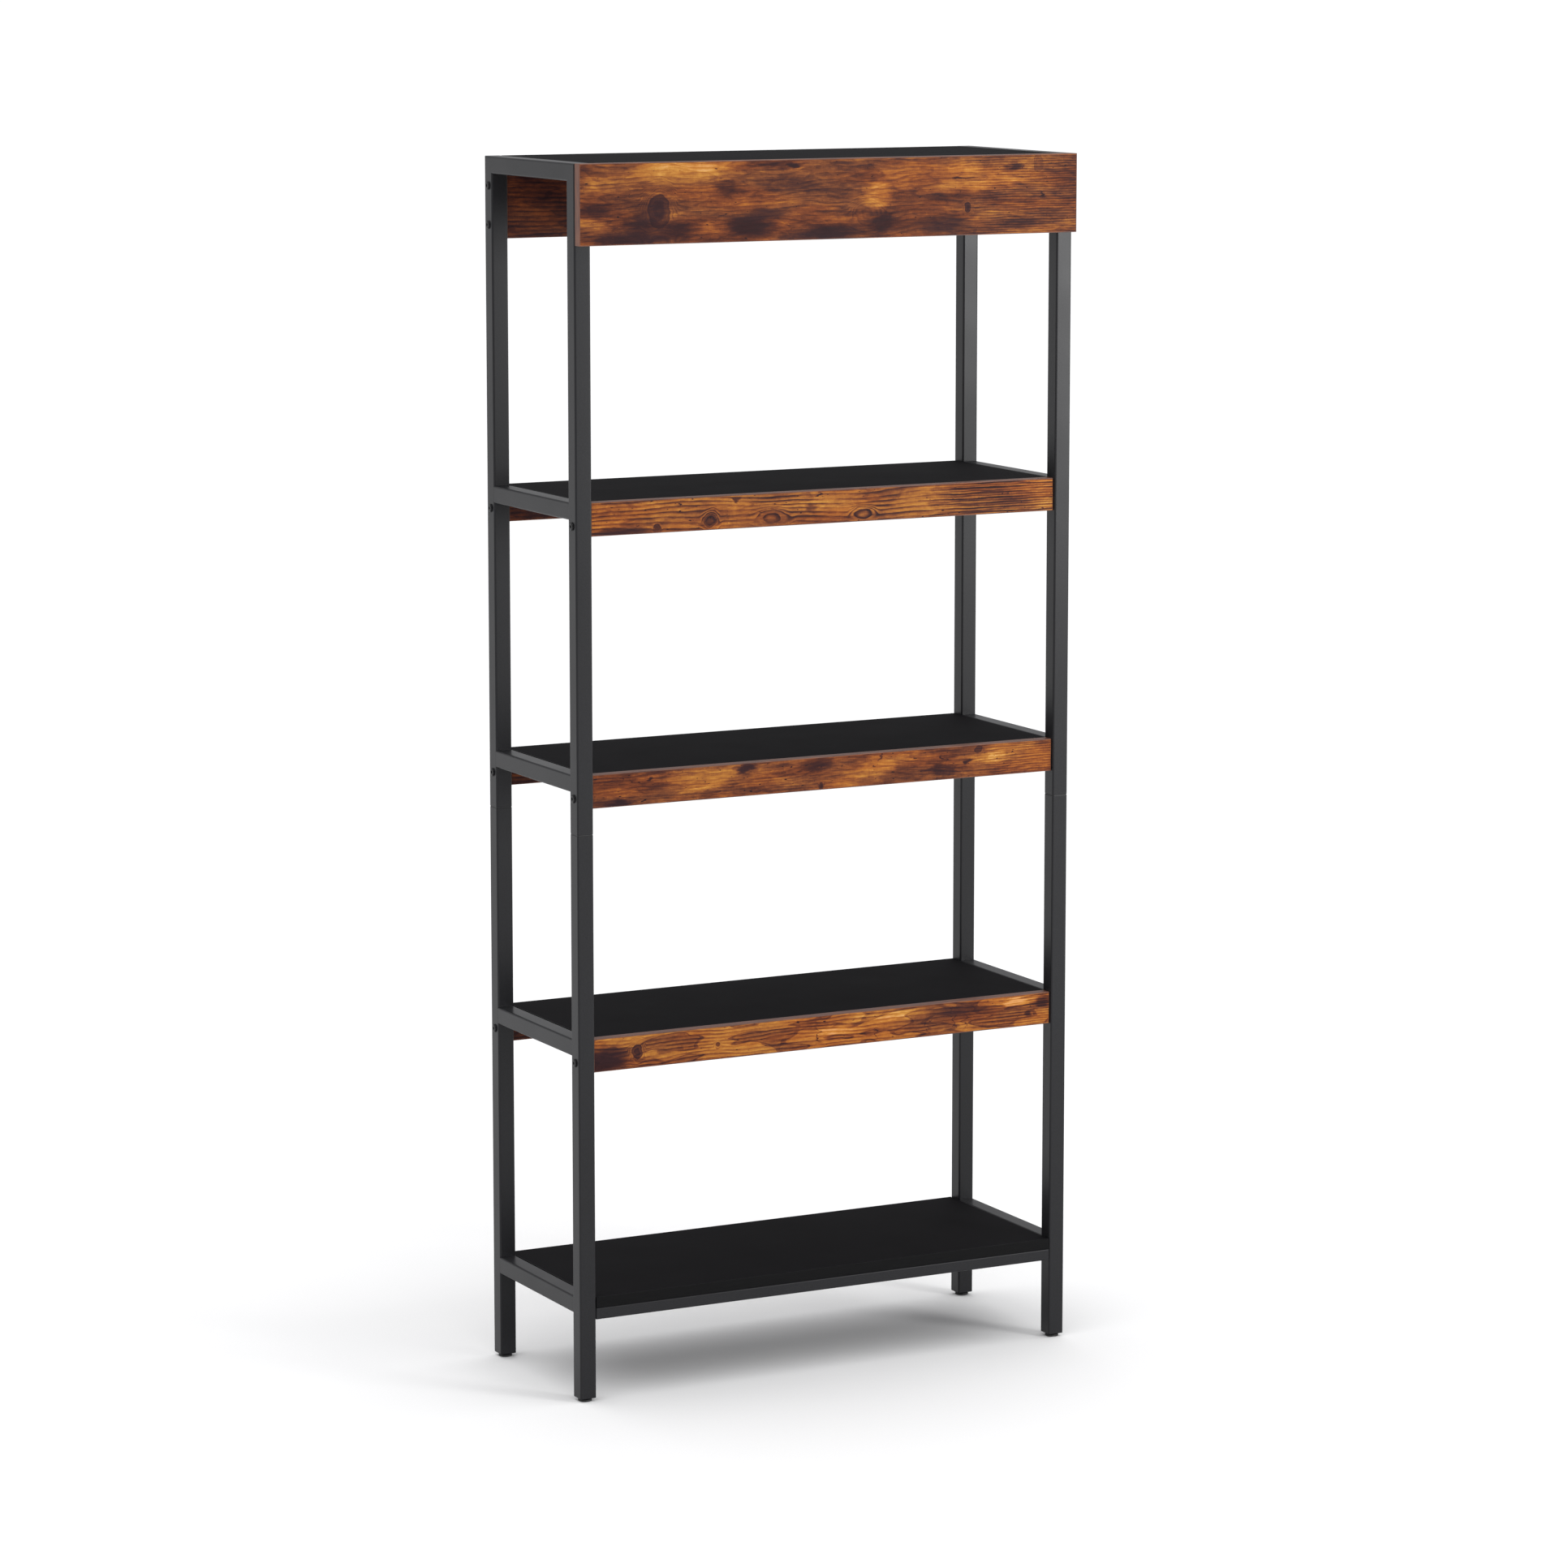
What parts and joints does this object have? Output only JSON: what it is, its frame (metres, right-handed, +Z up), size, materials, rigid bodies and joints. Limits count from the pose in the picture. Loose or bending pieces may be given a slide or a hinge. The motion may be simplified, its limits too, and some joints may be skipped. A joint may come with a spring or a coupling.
{
  "type": "bookcase",
  "caption": "Open bookcase with black square-tube ladder sides, dark fixed shelves edged with rustic wood-print aprons, a taller matching fascia at the top, and screw-in levelling feet.",
  "frame": {"origin": "on the floor, under the middle of the overall footprint", "axes": "+X to the viewer's right across the width, +Y from the fascia at the front to the back, +Z up"},
  "size_m": [0.8048, 0.315, 1.767],
  "materials": {
    "frame_steel": "charcoal black powder coat, satin, fine grain",
    "rustic_board": "chipboard with a rustic brown wood-print paper foil, matching edge band",
    "black_board": "chipboard with a matt black melamine face and edge band",
    "joint_plastic": "moulded black nylon",
    "foot_plastic": "moulded black polypropylene",
    "socket_plastic": "moulded black nylon",
    "bolt_steel": "black oxide, oiled",
    "screw_steel": "black phosphate",
    "insert_zinc": "zinc plated",
    "dowel_beech": "fluted beech, unfinished"
  },
  "bodies": {
    "bookcase": {"left_front_upper_post": "frame_steel", "left_rear_upper_post": "frame_steel", "left_front_lower_post": "frame_steel", "left_rear_lower_post": "frame_steel", "right_front_upper_post": "frame_steel", "right_rear_upper_post": "frame_steel", "right_front_lower_post": "frame_steel", "right_rear_lower_post": "frame_steel", "left_top_rail": "frame_steel", "left_upper_rail": "frame_steel", "left_middle_rail": "frame_steel", "left_lower_rail": "frame_steel", "left_bottom_rail": "frame_steel", "right_top_rail": "frame_steel", "right_upper_rail": "frame_steel", "right_middle_rail": "frame_steel", "right_lower_rail": "frame_steel", "right_bottom_rail": "frame_steel", "left_front_tube_joint": "joint_plastic", "left_rear_tube_joint": "joint_plastic", "right_front_tube_joint": "joint_plastic", "right_rear_tube_joint": "joint_plastic", "front_crossbar": "frame_steel", "rear_crossbar": "frame_steel", "crossbar_lugs": "frame_steel", "fascia": "rustic_board", "back_board": "rustic_board", "upper_front_apron": "rustic_board", "middle_front_apron": "rustic_board", "lower_front_apron": "rustic_board", "upper_back_apron": "rustic_board", "middle_back_apron": "rustic_board", "lower_back_apron": "rustic_board", "top_panel": "black_board", "upper_shelf": "black_board", "middle_shelf": "black_board", "lower_shelf": "black_board", "bottom_shelf": "black_board", "left_front_foot_socket": "socket_plastic", "left_rear_foot_socket": "socket_plastic", "right_front_foot_socket": "socket_plastic", "right_rear_foot_socket": "socket_plastic", "left_apron_bolts": "bolt_steel", "right_apron_bolts": "bolt_steel", "back_board_bolts": "bolt_steel", "fascia_bolts": "bolt_steel", "apron_inserts": "insert_zinc", "top_inserts": "insert_zinc", "upper_dowels": "dowel_beech", "middle_dowels": "dowel_beech", "lower_dowels": "dowel_beech", "top_dowels": "dowel_beech", "crossbar_screws": "screw_steel", "lug_screws": "screw_steel"},
    "left_front_foot_body": {"left_front_foot": "foot_plastic"},
    "left_rear_foot_body": {"left_rear_foot": "foot_plastic"},
    "right_front_foot_body": {"right_front_foot": "foot_plastic"},
    "right_rear_foot_body": {"right_rear_foot": "foot_plastic"}
  },
  "joints": [
    {"name": "left_front_foot_height", "type": "slide", "parent": "bookcase", "child": "left_front_foot_body", "axis": [0, 0, -1], "range_m": [0, 0.01]},
    {"name": "left_rear_foot_height", "type": "slide", "parent": "bookcase", "child": "left_rear_foot_body", "axis": [0, 0, -1], "range_m": [0, 0.01]},
    {"name": "right_front_foot_height", "type": "slide", "parent": "bookcase", "child": "right_front_foot_body", "axis": [0, 0, -1], "range_m": [0, 0.01]},
    {"name": "right_rear_foot_height", "type": "slide", "parent": "bookcase", "child": "right_rear_foot_body", "axis": [0, 0, -1], "range_m": [0, 0.01]}
  ]
}
